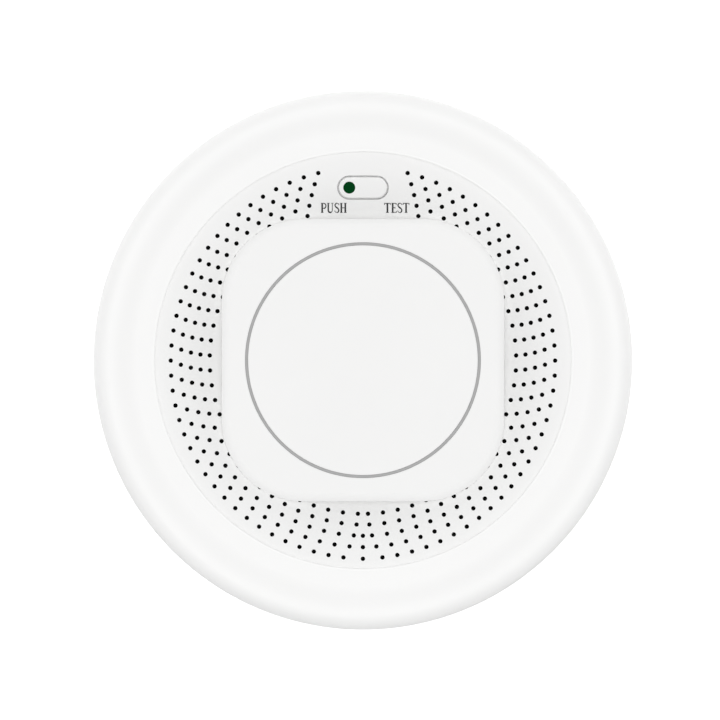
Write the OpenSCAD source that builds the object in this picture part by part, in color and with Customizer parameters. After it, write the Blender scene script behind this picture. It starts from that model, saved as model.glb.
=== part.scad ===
// Ceiling smoke alarm with a twist-off base, drawn lying on its back.
// The ceiling face is z = 0, the perforated face looks along +Z and the test button is towards +Y.
// All sizes are in millimetres.

/* [Body] */
// Outside diameter of the front cover
body_d = 120; // [118:0.5:124]
// Height from the ceiling face to the crest of the cover's rounded ring
body_h = 41.5; // [41.5:0.5:43]
// Wall of the moulded shells
wall = 2; // [1.8:0.1:2.2]

/* [Grille] */
// Diameter of the dished perforated face that shows inside the cover's lip
dish_d = 92.8; // [92:0.2:93.4]
// Radius of the dish's section, which falls away towards the centre
dish_arc_r = 30; // [29.5:0.5:34]
// Diameter of one smoke inlet hole
vent_d = 1; // [0.8:0.02:1.1]
// Rows of holes, counted from the rim inwards
vent_rows = 5; // [3:1:5]

/* [Centre cap] */
// Width across the flats of the rounded square cap
cap_w = 62.8; // [62:0.2:63.4]
// Radius of the cap's corners in plan
cap_corner_r = 18.3; // [17:0.1:20]
// Mean diameter of the grey accent ring
accent_d = 51.8; // [50:0.2:52.4]
// Width of the accent ring
accent_w = 0.65; // [0.5:0.05:0.9]

/* [Test button] */
// Length of the button
button_l = 10.8; // [10.6:0.1:11.2]
// Width of the button
button_w = 4.7; // [4.5:0.1:4.9]
// Distance from the middle of the alarm to the middle of the button
button_y = 38.4; // [38:0.1:38.8]
// Press travel of the button and its switch
button_travel = 0.5; // [0.3:0.05:0.6]
// Diameter of the light pipe in the button
lens_d = 2.6; // [2.4:0.1:2.8]

/* [Ceiling bracket] */
// Distance between the two screw slots of a pair
slot_spacing = 88; // [86.5:0.5:88.5]
// Length of a screw slot from end to end
slot_l = 8; // [6:0.5:8]
// Width of a screw slot
slot_w = 4.5; // [4:0.1:5]

/* [Battery bay] */
// Diameter of one cell
cell_d = 14.2; // [13.8:0.1:14.4]
// Length of one cell with its contact nub
cell_l = 50.5; // [50:0.1:50.6]

/* [Hidden] */
$fn = 96;

// Gaps: a fit between fixed pieces, a close seat, and a gap beside a piece that moves
fit_gap = 0.05;
seat_gap = 0.02;
move_gap = 0.2;
// Cutters reach this far past what they cut, and joined shapes reach this far into each other
past = 1;
bite = 0.5;

// Face of the alarm
body_r = body_d / 2;
dish_r = dish_d / 2;
crest_r = body_r - 3.4;
crest_z = body_h;
trough_r = body_r - 9.6;
shelf_z = crest_z - 2;
shoulder_z = crest_z - (body_r - crest_r);
lip_t = 0.65;
dish_z = shelf_z - lip_t;
grille_t = 1.6;
dish_edge_slope = 3;
dish_arc_x = dish_r + dish_arc_r * sin(dish_edge_slope);
dish_arc_z = dish_z - dish_arc_r * cos(dish_edge_slope);
function dish_height(r) = dish_arc_z + sqrt(pow(dish_arc_r, 2) - pow(r - dish_arc_x, 2));

// Front cover
cover_bottom_z = 8.6;
cover_bottom_r = body_r - 1.2;
cover_side_z = 22;
flange_r = dish_r + 1.7;
skirt_drop = 4.2;

// Rear housing
rear_r = body_r - 2.6;
skirt_inner_r = rear_r - 2.1;
skirt_bottom_z = 1;
floor_z = 7;
floor_t = 2;
lap_r = rear_r - 0.65;
lap_top_z = 13;
well_r = 37.2;
well_z = 3;
well_t = 2;
well_wall = 1.8;

// Ceiling bracket and its bayonet
bracket_t = 2.2;
bracket_r = 51.5;
bracket_hole_r = 37.8;
bracket_rim_t = 1.4;
bracket_rim_h = 1.8;
bracket_rib_h = 1;
mark_w = 1.2;
hook_count = 4;
hook_start = 45;
hook_wall_t = 2;
hook_lip_r = 54;
hook_lip_z = 4.6;
hook_lip_t = 1.6;
hook_span = 26;
hook_stop_span = 3.6;
lug_span = 18;
lug_r = hook_lip_r - 1.7;
lug_z = 2.6;
lug_t = 1.7;

// Battery bay
bay_l = cell_l + 7.5;
bay_w = 2 * cell_d + 1.8;
bay_wall = 1.7;
bay_roof_z = 19.9;
bay_roof_t = 1.7;
cell_z = 12.3;
cell_y = cell_d / 2 + 0.3;
contact_t = 0.4;
dimple_h = 0.35;
nub_tip_x = bay_l / 2 - contact_t - dimple_h - fit_gap;
cell_end_x = nub_tip_x - cell_l;
tail_w = 2;

// Battery door and its hinge
door_l = bay_l + 2.4;
door_t = 1.8;
recess_l = door_l + 2 * 0.3;
hinge_y = -bay_w / 2 + 0.1;
hinge_z = well_z + 1.4;
barrel_r = 1.4;
hinge_clear_r = barrel_r + move_gap;
door_front_y = bay_w / 2 + 1.3;
hinge_pin_r = 0.7;
hinge_hole_r = hinge_pin_r + 0.04;
hinge_pin_l = 1.3;
hinge_block_l = 2 * hinge_pin_l;
hinge_block_w = 4.4;
hinge_block_h = 4;
latch_w = 7;
latch_l = 1.8;
grip_w = 0.8;
grip_pitch = 1.8;
notch_l = 5;
notch_h = 2.4;

// Board and what stands on it
board_r = 46.5;
board_z = 22.6;
board_t = 1.6;
board_top = board_z + board_t;
board_post_r = 2.6;
board_screw_ring = 42;
chamber_r = 22;
chamber_floor_t = 2;
chamber_top_z = board_top + 10.8;
chamber_lid_t = 1.4;
optic_z = board_top + 5.8;
optic_r = 1.5;
optic_x = 9.5;
optic_l = 7.6;
lead_w = 0.5;
scatter_angle = 125;
screen_t = 0.5;
labyrinth_count = 20;
sounder_r = 10.5;
sounder_h = 6;
sounder_wall = 1;
sounder_lid_t = 1.15;
piezo_z = 2.2;
sounder_ring = 35;
sounder_angle = 270;
led_x = -(button_l - button_w) / 2;
switch_x = 2.3;
switch_w = 6;
switch_h = 3.5;
frame_t = 0.35;
plunger_h = button_travel + 1;
plunger_r = 1.7;

// Button
button_proud = 0.3;
button_gap = 0.3;
button_flange_z = dish_height(button_y - button_w / 2 - 1) - grille_t - 0.2;
button_flange_t = 1;
// The light pipe's foot, and the lamp that stays clear of it when the button is pressed
pipe_foot_z = button_flange_z - button_flange_t - 0.55;
led_h = pipe_foot_z - button_travel - move_gap - board_top - fit_gap;

// Centre cap
cap_wall = 1.6;
// The cap's top edge is an arc that starts level and stops at this slope, where the upright wall begins
cap_edge_r = 3.6;
cap_edge_slope = 30;
cap_top_z = dish_z - 1;
cap_base_z = dish_height(cap_w / 2) - grille_t;
grille_hole_r = cap_w / 2 - 1.8;
cap_leg_r = grille_hole_r - 0.3;
accent_depth = 1;

// Fasteners
housing_screw_ring = 51.4;
housing_head_r = 2.8;
housing_head_h = 2;
housing_shank_r = 1.5;
housing_boss_r = 3.9;
cover_boss_r = 3;
cover_boss_z = 11.8;
small_head_r = 1.9;
small_head_h = 1.3;
small_shank_r = 0.95;
grille_screw_ring = 50;
ear_r = 2.6;
ear_t = 1.6;
ear_z = dish_z - skirt_drop;

// Colours
shell_white = [0.95, 0.95, 0.94];
grille_white = [0.91, 0.91, 0.90];
frame_black = [0.05, 0.05, 0.05];
board_green = [0.05, 0.30, 0.14];
steel = [0.75, 0.75, 0.77];
accent_grey = [0.68, 0.68, 0.68];

// ---------- helpers ----------

module around(n, start = 0)
    for (i = [0:n - 1])
        rotate([0, 0, start + 360 * i / n])
            children();

module disc(r, h, z = 0)
    translate([0, 0, z])
        cylinder(r = r, h = h);

module tube(r_out, r_in, h, z = 0)
    translate([0, 0, z])
        difference() {
            cylinder(r = r_out, h = h);
            translate([0, 0, -past])
                cylinder(r = r_in, h = h + 2 * past);
        }

module arc_bar(r_out, r_in, h, z, middle, span)
    rotate([0, 0, middle - span / 2])
        translate([0, 0, z])
            rotate_extrude(angle = span)
                translate([r_in, 0])
                    square([r_out - r_in, h]);

module block(size, at)
    translate([at[0] - size[0] / 2, at[1] - size[1] / 2, at[2]])
        cube(size);

module stadium(l, w)
    union() {
        square([l - w, w], center = true);
        for (s = [-1, 1])
            translate([s * (l - w) / 2, 0])
                circle(d = w);
    }

module rounded_square(w, r)
    union() {
        square([w, w - 2 * r], center = true);
        square([w - 2 * r, w], center = true);
        for (x = [-1, 1], y = [-1, 1])
            translate([x * (w / 2 - r), y * (w / 2 - r)])
                circle(r = r);
    }

// A pan-head screw, pointing down from the underside of its head at the origin
module pan_screw(head_r, head_h, shank_r, shank_l)
    difference() {
        union() {
            cylinder(r1 = head_r, r2 = head_r * 0.8, h = head_h);
            translate([0, 0, -shank_l])
                cylinder(r = shank_r, h = shank_l + bite);
        }
        for (a = [0, 90])
            rotate([0, 0, a])
                block([head_r * 1.1, head_r * 0.25, head_h], [0, 0, head_h * 0.45]);
    }

// A solid of revolution that fills everything under the dish's top surface, raised by lift
module under_dish(lift = 0) {
    steps = 16;
    inner_r = grille_hole_r - 2;
    rotate_extrude()
        polygon(concat(
            [[0, -past], [dish_r + 3, -past], [dish_r + 3, dish_z + lift]],
            [for (i = [0:steps])
                let (r = dish_r + (inner_r - dish_r) * i / steps)
                [r, dish_height(r) + lift]],
            [[0, dish_height(inner_r) + lift]]
        ));
}

// Section of a sheet that follows the dish between two radii, its top lowered by drop
module dish_sheet(inner_r, outer_r, drop, sheet_t)
    difference() {
        intersection() {
            translate([dish_arc_x, dish_arc_z - drop])
                circle(r = dish_arc_r, $fn = 360);
            translate([inner_r, dish_arc_z])
                square([outer_r - inner_r, dish_arc_r + past]);
        }
        translate([dish_arc_x, dish_arc_z - drop - sheet_t])
            circle(r = dish_arc_r, $fn = 360);
    }

// ---------- ceiling bracket ----------

module screw_slots()
    for (turn = [0, 90], s = [-1, 1])
        rotate([0, 0, turn])
            translate([s * slot_spacing / 2, 0, -past])
                linear_extrude(bracket_t + 2 * past)
                    stadium(slot_l, slot_w);

module bayonet_hook() {
    wall_r = bracket_r - hook_wall_t;
    wall_z = bracket_t / 2;
    arc_bar(bracket_r - 0.2, wall_r, hook_lip_z + hook_lip_t - wall_z, wall_z, 0, hook_span);
    arc_bar(hook_lip_r, wall_r + bite, hook_lip_t, hook_lip_z, 0, hook_span - 0.1);
    // End stop that the lug meets when the alarm is locked
    arc_bar(hook_lip_r - 0.1, wall_r + bite, hook_lip_z + hook_lip_t / 2 - 0.6, 0.6,
        (hook_stop_span - hook_span) / 2 + 0.1, hook_stop_span);
}

// The plate with a raised rim at its hole and a lower one at its outer edge
module bracket_ring() {
    inner_rim_r = bracket_hole_r + bracket_rim_t;
    outer_rim_r = bracket_r - 1;
    inner_rim_z = bracket_t + bracket_rim_h;
    outer_rim_z = bracket_t + bracket_rib_h;
    rotate_extrude()
        polygon([
            [bracket_hole_r, 0],
            [bracket_r, 0],
            [bracket_r, outer_rim_z],
            [outer_rim_r, outer_rim_z],
            [outer_rim_r, bracket_t],
            [inner_rim_r, bracket_t],
            [inner_rim_r, inner_rim_z],
            [bracket_hole_r, inner_rim_z]
        ]);
}

module bracket_ribs()
    around(8, 22.5)
        translate([bracket_hole_r + 0.5, -0.6, bracket_t - bite])
            cube([bracket_r - bracket_hole_r - 1, 1.2, bracket_rib_h + bite - 0.15]);

// Small notches in the outer edge that line up with the marks on the skirt
module lock_notch()
    rotate([0, 0, 45])
        block([mark_w, mark_w, bracket_t + 3 * past], [0, 0, -past]);

module mounting_bracket()
    color(shell_white)
        difference() {
            union() {
                bracket_ring();
                bracket_ribs();
                around(hook_count, hook_start)
                    bayonet_hook();
            }
            screw_slots();
            around(4, 14)
                translate([bracket_r, 0, 0]) lock_notch();
        }

// ---------- rear housing ----------

module rear_pan()
    rotate_extrude()
        polygon([
            [0, well_z],
            [well_r, well_z],
            [well_r, floor_z],
            [skirt_inner_r, floor_z],
            [skirt_inner_r, skirt_bottom_z],
            [rear_r - 0.6, skirt_bottom_z],
            [rear_r, skirt_bottom_z + 0.6],
            [rear_r, cover_bottom_z - 0.3],
            [lap_r, cover_bottom_z - 0.3],
            [lap_r, lap_top_z],
            [lap_r - 1.4, lap_top_z],
            [lap_r - 1.4, floor_z + floor_t],
            [well_r - well_wall, floor_z + floor_t],
            [well_r - well_wall, well_z + well_t],
            [0, well_z + well_t]
        ]);

module battery_bay_walls()
    block([bay_l + 2 * bay_wall, bay_w + 2 * bay_wall, bay_roof_z + bay_roof_t - well_z - well_t + bite],
        [0, 0, well_z + well_t - bite]);

module battery_bay_room() {
    block([bay_l, bay_w, bay_roof_z - well_z + past], [0, 0, well_z - past]);
    // Recess that the door lies in
    translate([-recess_l / 2, hinge_y - hinge_clear_r, well_z - past])
        cube([recess_l, door_front_y + move_gap - hinge_y + hinge_clear_r, well_t + past]);
    // Room for the hinge barrel to turn
    translate([-recess_l / 2, hinge_y, hinge_z])
        rotate([0, 90, 0])
            cylinder(r = hinge_clear_r, h = recess_l);
    // Pockets that the hinge pins run in
    translate([-recess_l / 2 - hinge_pin_l, hinge_y, hinge_z])
        rotate([0, 90, 0])
            cylinder(r = hinge_hole_r, h = recess_l + 2 * hinge_pin_l);
    // Finger notch and latch pocket
    block([latch_w + 1, notch_l, well_t + notch_h + past], [0, door_front_y, well_z - past]);
    // Slots that the contact tails pass up through
    for (s = [-1, 1], y = [-1, 1])
        block([contact_t + 0.3, tail_w + 0.4, bay_roof_t + 2 * past],
            [s * (bay_l - contact_t) / 2, y * cell_y, bay_roof_z - past]);
}

module hinge_blocks()
    for (s = [-1, 1])
        block([hinge_block_l, hinge_block_w, hinge_block_h],
            [s * (recess_l + hinge_block_l) / 2, hinge_y, well_z + bite]);

module housing_boss()
    translate([housing_screw_ring, 0, floor_z])
        cylinder(r = housing_boss_r, h = cover_boss_z - fit_gap - floor_z);

module housing_screw_hole()
    translate([housing_screw_ring, 0, 0]) {
        disc(housing_head_r + 0.2, housing_head_h + 0.4 + past, floor_z - past);
        disc(housing_shank_r + 0.1, cover_boss_z, floor_z);
    }

// Alignment mark on the outside of the skirt
module skirt_mark() {
    mark_t = 0.8;
    mark_h = 4.4;
    block([mark_t, mark_w, mark_h], [rear_r, 0, skirt_bottom_z + mark_w]);
}

// Shallow panel for a rating label
module label_recess() {
    label_l = 36;
    label_w = 11;
    label_depth = 0.4;
    block([label_l, label_w, label_depth + past], [0, hinge_y - label_w, well_z - past]);
}

module board_post()
    translate([board_screw_ring, 0, floor_z + bite])
        cylinder(r = board_post_r, h = board_z - fit_gap - floor_z - bite);

module rear_housing()
    color(shell_white)
        difference() {
            union() {
                rear_pan();
                battery_bay_walls();
                hinge_blocks();
                around(4) housing_boss();
                around(4, 45) board_post();
                around(hook_count, hook_start)
                    arc_bar(skirt_inner_r + bite, lug_r, lug_t, lug_z, 0, lug_span);
                around(4, 14) skirt_mark();
            }
            battery_bay_room();
            label_recess();
            around(4) housing_screw_hole();
            around(4, 45)
                translate([board_screw_ring, 0, board_z - 6.5])
                    cylinder(r = small_shank_r + 0.02, h = 8);
        }

// ---------- front cover ----------

// Height of the cover's face: a shallow cone from the lip that steepens once before the level crest
function face_height(r) =
    let (
        cone = sin(90 * (r - dish_r) / (crest_r - dish_r)),
        rise = (1 - cos(180 * max(0, r - trough_r) / (crest_r - trough_r))) / 2
    )
    shelf_z + (crest_z - shelf_z) * (0.55 * cone + 0.45 * rise);

// The cover's section line from its bottom edge over the shoulder to the lip, set in by inset
function cover_line(inset) = concat(
    [[cover_bottom_r - inset, cover_bottom_z], [body_r - inset, cover_side_z]],
    [for (a = [0:6:90]) [
        crest_r + (body_r - crest_r - inset) * cos(a),
        shoulder_z + (crest_z - shoulder_z - inset) * sin(a)
    ]],
    [for (i = [1:15]) let (r = crest_r - (crest_r - dish_r - 0.5) * i / 15) [r, face_height(r) - inset]],
    [[dish_r, face_height(dish_r + 0.5) - 0.35 - inset]]
);

function reversed(list) = [for (i = [len(list) - 1:-1:0]) list[i]];

module cover_shell()
    rotate_extrude()
        polygon(concat(cover_line(0), reversed(cover_line(wall))));

module cover_bosses() {
    around(4)
        translate([housing_screw_ring, 0, cover_boss_z])
            cylinder(r = cover_boss_r, h = shelf_z - 1 - cover_boss_z);
    around(4, 45)
        translate([grille_screw_ring, 0, ear_z + ear_t + fit_gap])
            cylinder(r = ear_r, h = shelf_z - 1 - ear_z - ear_t);
}

module front_cover()
    color(shell_white)
        difference() {
            union() {
                cover_shell();
                cover_bosses();
            }
            // Seat of the grille's flange
            tube(flange_r + fit_gap, dish_r - past, dish_z + fit_gap, 0);
            around(4)
                translate([housing_screw_ring, 0, cover_boss_z - past])
                    cylinder(r = housing_shank_r + 0.02, h = 9 + past);
            around(4, 45)
                translate([grille_screw_ring, 0, ear_z])
                    cylinder(r = small_shank_r + 0.02, h = ear_t + 2.6);
        }

// ---------- perforated grille ----------

// The holes lie on arcs in two mirrored halves. Each row inwards has two holes fewer, so the pitch along the
// arc stays near 3.35 mm, and the arcs' centre moves a little with the row.
vent_outer_r = dish_r - 2.82;
function vent_r(row) = vent_outer_r - 2.43 * row + 0.03 * row * row;
function vent_centre(row) = [-0.82 + 0.15 * row, -0.60 + 0.18 * row];
function vent_count(row) = 37 - 2 * row;
function vent_first(row) = 75.71 - 1.79 * row;
function vent_last(row) = -83.2 - 1.9 * row + 0.19 * row * row;
function vent_angle(row, i) =
    vent_first(row) + (vent_last(row) - vent_first(row)) * i / (vent_count(row) - 1);

module at_each_vent() {
    for (side = [-1, 1], row = [0:vent_rows - 1], i = [0:vent_count(row) - 1]) {
        a = vent_angle(row, i);
        c = vent_centre(row);
        translate([side * (c[0] + vent_r(row) * cos(a)), c[1] + vent_r(row) * sin(a), 0])
            children();
    }
    // The outer rows are closed by a hole on the centre line
    for (row = [0:2])
        translate([0, vent_centre(row)[1] - vent_r(row), 0])
            children();
}

module grille_body() {
    flange_t = 1.4;
    under_z = dish_z - grille_t + fit_gap;
    rotate_extrude() {
        dish_sheet(grille_hole_r, dish_r + 0.2, 0, grille_t);
        polygon([
            [dish_r - bite, dish_z - bite],
            [dish_r + 0.1, dish_z],
            [flange_r, dish_z],
            [flange_r, ear_z],
            [flange_r - flange_t, ear_z],
            [flange_r - flange_t, under_z],
            [dish_r - bite, under_z]
        ]);
    }
}

module grille_ear()
    difference() {
        union() {
            translate([grille_screw_ring, 0, ear_z])
                cylinder(r = ear_r, h = ear_t);
            translate([flange_r - 1.2, -ear_r, ear_z])
                cube([grille_screw_ring - flange_r + 1.2, 2 * ear_r, ear_t]);
        }
        translate([grille_screw_ring, 0, ear_z - past])
            cylinder(r = small_shank_r + 0.1, h = ear_t + 2 * past);
    }

module smoke_grille()
    color(grille_white)
        difference() {
            union() {
                grille_body();
                around(4, 45) grille_ear();
            }
            translate([0, button_y, board_top])
                linear_extrude(body_h)
                    stadium(button_l + 2 * button_gap, button_w + 2 * button_gap);
            translate([0, 0, board_top])
                at_each_vent()
                    cylinder(d = vent_d, h = body_h - board_top, $fn = 24);
        }

// Fine black mesh bonded under the grille, drawn as a plain sheet
module dust_screen() {
    inner_r = grille_hole_r + 1.4;
    outer_r = flange_r - 1.8;
    sheet_t = 0.3;
    glue_t = 0.03;
    color(frame_black)
        difference() {
            rotate_extrude()
                dish_sheet(inner_r, outer_r, grille_t + glue_t, sheet_t);
            translate([0, button_y, board_top])
                linear_extrude(body_h)
                    stadium(button_l + 3, button_w + 3);
        }
}

// ---------- centre cap and accent ring ----------

// Half section of the cap's edge, from the middle of a corner outwards, with a rounded top edge
module cap_edge_section(r, height) {
    arc_run = cap_edge_r * sin(cap_edge_slope);
    arc_drop = cap_edge_r * (1 - cos(cap_edge_slope));
    square([r, height - arc_drop]);
    square([r - arc_run, height]);
    intersection() {
        translate([r - arc_run, height - cap_edge_r])
            circle(r = cap_edge_r);
        translate([r - arc_run - bite, 0])
            square([arc_run + bite, height]);
    }
}

module cap_block() {
    height = cap_top_z - cap_base_z;
    core = cap_w - 2 * cap_corner_r;
    translate([0, 0, cap_base_z]) {
        block([core, core, height], [0, 0, 0]);
        for (turn = [0:90:270])
            rotate([0, 0, turn]) {
                translate([core / 2, core / 2, 0])
                    rotate_extrude(angle = 90)
                        cap_edge_section(cap_corner_r, height);
                translate([core / 2, core / 2, 0])
                    rotate([90, 0, 0])
                        linear_extrude(core)
                            cap_edge_section(cap_corner_r, height);
            }
    }
}

module cap_leg() {
    leg_t = 1.2;
    leg_w = 4;
    foot_t = 0.8;
    foot_l = 2 * leg_t;
    foot_z = dish_height(grille_hole_r) - grille_t - fit_gap - foot_t;
    translate([cap_leg_r - leg_t, -leg_w / 2, foot_z]) {
        cube([leg_t, leg_w, cap_top_z - cap_wall / 2 - foot_z]);
        cube([foot_l, leg_w, foot_t]);
    }
}

module center_cap()
    color(shell_white)
        difference() {
            union() {
                difference() {
                    cap_block();
                    translate([0, 0, cap_base_z - past])
                        linear_extrude(cap_top_z - cap_wall - cap_base_z + past)
                            rounded_square(cap_w - 2 * cap_wall, cap_corner_r - cap_wall);
                    under_dish(seat_gap);
                }
                around(4, 45) cap_leg();
            }
            tube((accent_d + accent_w) / 2 + 0.02, (accent_d - accent_w) / 2 - 0.02, accent_depth + past,
                cap_top_z - accent_depth);
        }

module accent_ring()
    color(accent_grey)
        tube((accent_d + accent_w) / 2, (accent_d - accent_w) / 2, accent_depth - 0.05,
            cap_top_z - accent_depth + 0.02);

// ---------- board and its parts ----------

module main_board()
    color(board_green)
        difference() {
            disc(board_r, board_t, board_z);
            around(4, 45)
                translate([board_screw_ring, 0, board_z - past])
                    cylinder(r = small_shank_r + 0.15, h = board_t + 2 * past);
            for (s = [-1, 1], y = [-1, 1])
                block([contact_t + 0.3, tail_w + 0.3, board_t + 2 * past],
                    [s * (bay_l - contact_t) / 2, y * cell_y, board_z - past]);
        }

// Where the emitter and the receiver look in from, at the scattering angle to each other
module at_optics() {
    rotate([0, 0, 180 + 90 - scatter_angle / 2]) children();
    rotate([0, 0, 180 + 90 + scatter_angle / 2]) children();
}

module chamber_base() {
    holder_l = 7;
    holder_w = 6;
    ring_r = chamber_r - 5;
    ring_t = 0.8;
    color(frame_black)
        difference() {
            union() {
                disc(chamber_r, chamber_floor_t, board_top);
                at_optics()
                    block([holder_l, holder_w, holder_l], [optic_x + 1.5, 0, board_top + past]);
                tube(ring_r + ring_t / 2, ring_r - ring_t / 2, ring_t, board_top + chamber_floor_t);
            }
            at_optics()
                translate([optic_x + 1.5 - holder_l, 0, optic_z])
                    rotate([0, 90, 0])
                        cylinder(r = optic_r + fit_gap, h = 2 * holder_l);
        }
}

// Two bent walls that let smoke round the corner and keep light out
module labyrinth_vane() {
    vane_t = 0.8;
    vane_l = 3;
    vane_bend = 52;
    translate([chamber_r - vane_l, 0, board_top + chamber_floor_t + fit_gap])
        for (s = [-1, 1])
            rotate([0, 0, s * vane_bend])
                translate([-bite, -vane_t / 2, 0])
                    cube([vane_l, vane_t, chamber_top_z - chamber_lid_t - board_top - chamber_floor_t]);
}

module chamber_cover()
    color(frame_black)
        intersection() {
            disc(chamber_r - 0.1, body_h, 0);
            union() {
                disc(chamber_r, chamber_lid_t, chamber_top_z - chamber_lid_t);
                around(labyrinth_count, 180 / labyrinth_count) labyrinth_vane();
            }
        }

module insect_screen() {
    window_w = 6.2;
    window_h = 2.3;
    window_pitch = 2.9;
    first_z = board_top + 1.6;
    inner_r = chamber_r + 0.1;
    color(steel)
        difference() {
            tube(inner_r + screen_t, inner_r, chamber_top_z - board_top - 0.1, board_top + fit_gap);
            around(18)
                for (row = [0:2])
                    translate([chamber_r - past, -window_w / 2, first_z + row * window_pitch])
                        cube([screen_t + 3 * past, window_w, window_h]);
        }
}

// A 3 mm lamp lying along +X with its dome towards the origin
module bullet_lamp(length) {
    collar_r = optic_r + 0.35;
    collar_l = 1;
    rotate([0, 90, 0])
        cylinder(r = optic_r, h = length - optic_r);
    sphere(r = optic_r);
    translate([length - optic_r - collar_l, 0, 0])
        rotate([0, 90, 0])
            cylinder(r = collar_r, h = collar_l);
}

module optic_lamp(tint, turn)
    color(tint)
        rotate([0, 0, turn])
            translate([optic_x, 0, optic_z]) {
                bullet_lamp(optic_l);
                for (y = [-0.6, 0.6])
                    translate([optic_l - optic_r, y - lead_w / 2, board_top - optic_z])
                        cube([lead_w, lead_w, optic_z - board_top]);
            }

module infrared_emitter()
    difference() {
        optic_lamp([0.55, 0.65, 0.85], 270 - scatter_angle / 2);
        disc(chamber_r + 5, board_top + chamber_floor_t + fit_gap, 0);
    }

module photodiode()
    difference() {
        optic_lamp([0.12, 0.12, 0.14], 270 + scatter_angle / 2);
        disc(chamber_r + 5, board_top + chamber_floor_t + fit_gap, 0);
    }

module at_sounder()
    rotate([0, 0, sounder_angle])
        translate([sounder_ring, 0, board_top + fit_gap])
            children();

module sounder_case()
    color(frame_black)
        at_sounder()
            difference() {
                disc(sounder_r, sounder_h - sounder_lid_t - fit_gap);
                disc(sounder_r - sounder_wall, sounder_h, sounder_wall);
                disc(1.2, sounder_h, -past);
            }

module piezo_disc()
    color([0.82, 0.68, 0.32])
        at_sounder() {
            disc(sounder_r - sounder_wall - move_gap, 0.25, piezo_z);
            disc(sounder_r - 4, 0.2, piezo_z + 0.2);
        }

module sounder_lid()
    color(frame_black)
        at_sounder()
            difference() {
                union() {
                    disc(sounder_r, sounder_lid_t, sounder_h - sounder_lid_t);
                    tube(sounder_r - sounder_wall - 0.1, sounder_r - 2 * sounder_wall, 3, sounder_h - 3.5);
                }
                disc(2, 3, sounder_h - 2);
            }

module at_switch()
    translate([switch_x, button_y, board_top + fit_gap])
        children();

module switch_base()
    color(frame_black)
        at_switch()
            difference() {
                block([switch_w, switch_w, switch_h - 0.5], [0, 0, 0]);
                disc(plunger_r + 0.5, switch_h, switch_h - button_travel - 0.8);
            }

module switch_frame()
    color(steel)
        at_switch()
            difference() {
                block([switch_w, switch_w, frame_t], [0, 0, switch_h - frame_t - 0.1]);
                disc(plunger_r + 0.15, switch_h, 1);
            }

module switch_plunger()
    color(frame_black)
        at_switch() {
            disc(plunger_r, plunger_h + 0.6, switch_h - 0.6);
            disc(plunger_r + 0.3, 0.2, switch_h - 0.7);
        }

module test_button() {
    switch_top = board_top + fit_gap + switch_h + plunger_h + 0.02;
    flange_reach = 0.8;
    stem_r = 1.3;
    color(shell_white)
        difference() {
            union() {
                intersection() {
                    translate([0, button_y, button_flange_z - 0.5])
                        linear_extrude(body_h - button_flange_z)
                            stadium(button_l, button_w);
                    under_dish(button_proud);
                }
                translate([0, button_y, button_flange_z - button_flange_t])
                    linear_extrude(button_flange_t)
                        stadium(button_l + 2 * flange_reach, button_w + 2 * flange_reach);
                translate([switch_x, button_y, switch_top])
                    cylinder(r = stem_r, h = button_flange_z - switch_top);
            }
            translate([led_x, button_y, board_top])
                cylinder(d = lens_d + 0.04, h = body_h);
        }
}

module light_pipe() {
    foot_t = 0.5;
    color([0.0, 0.27, 0.12]) {
        intersection() {
            translate([led_x, button_y, pipe_foot_z + foot_t / 2])
                cylinder(d = lens_d, h = body_h - pipe_foot_z);
            under_dish(button_proud + 0.1);
        }
        translate([led_x, button_y, pipe_foot_z])
            cylinder(r = lens_d / 2 + 0.4, h = foot_t);
    }
}

module status_led()
    color([0.55, 0.85, 0.55])
        translate([led_x, button_y, board_top + fit_gap]) {
            disc(optic_r, led_h - optic_r);
            disc(optic_r + 0.3, 0.9);
            translate([0, 0, led_h - optic_r])
                sphere(r = optic_r);
        }

module microcontroller()
    color(frame_black)
        translate([33, 12, board_top + fit_gap])
            rotate([0, 0, 20]) {
                body = [5, 10, 1.5];
                leg = [1.6, 0.4, 0.35];
                leg_pitch = 1.27;
                block(body, [0, 0, 0.2]);
                for (s = [-1, 1], i = [-3:3])
                    block(leg, [s * (body[0] + leg[0] - 0.4) / 2, i * leg_pitch, 0]);
            }

module boost_inductor()
    color([0.20, 0.20, 0.22])
        translate([31, -14, board_top + fit_gap]) {
            rim_r = 4;
            rim_t = 1;
            winding_h = 5;
            disc(rim_r, rim_t);
            disc(rim_r - 1.2, winding_h, bite);
            disc(rim_r, rim_t, winding_h);
        }

module smoothing_capacitor()
    color([0.12, 0.16, 0.30])
        translate([22, -31, board_top + fit_gap])
            union() {
                can_r = 3.1;
                can_h = 4.6;
                foot_w = 6.6;
                disc(can_r, can_h);
                block([foot_w, foot_w, 0.8], [0, 0, 0]);
            }

module chip_resistors()
    color([0.10, 0.10, 0.11])
        for (i = [0:5])
            rotate([0, 0, 58 - 7 * i])
                translate([28.5, 0, board_top + fit_gap])
                    block([2, 1.25, 0.6], [0, 0, 0]);

// ---------- batteries, contacts and door ----------

// One cell along +X, its nub tip at the origin's +X side
module cell(tint)
    color(tint)
        translate([0, 0, cell_z])
            rotate([0, 90, 0]) {
                nub_d = 5.4;
                nub_h = 1.1;
                translate([0, 0, cell_end_x])
                    cylinder(d = cell_d, h = cell_l - nub_h);
                translate([0, 0, nub_tip_x - nub_h - bite])
                    cylinder(d = nub_d, h = nub_h + bite);
            }

module battery_cell_a()
    translate([0, -cell_y, 0]) cell([0.16, 0.18, 0.20]);

module battery_cell_b()
    rotate([0, 0, 180])
        translate([0, -cell_y, 0]) cell([0.16, 0.18, 0.20]);

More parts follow.
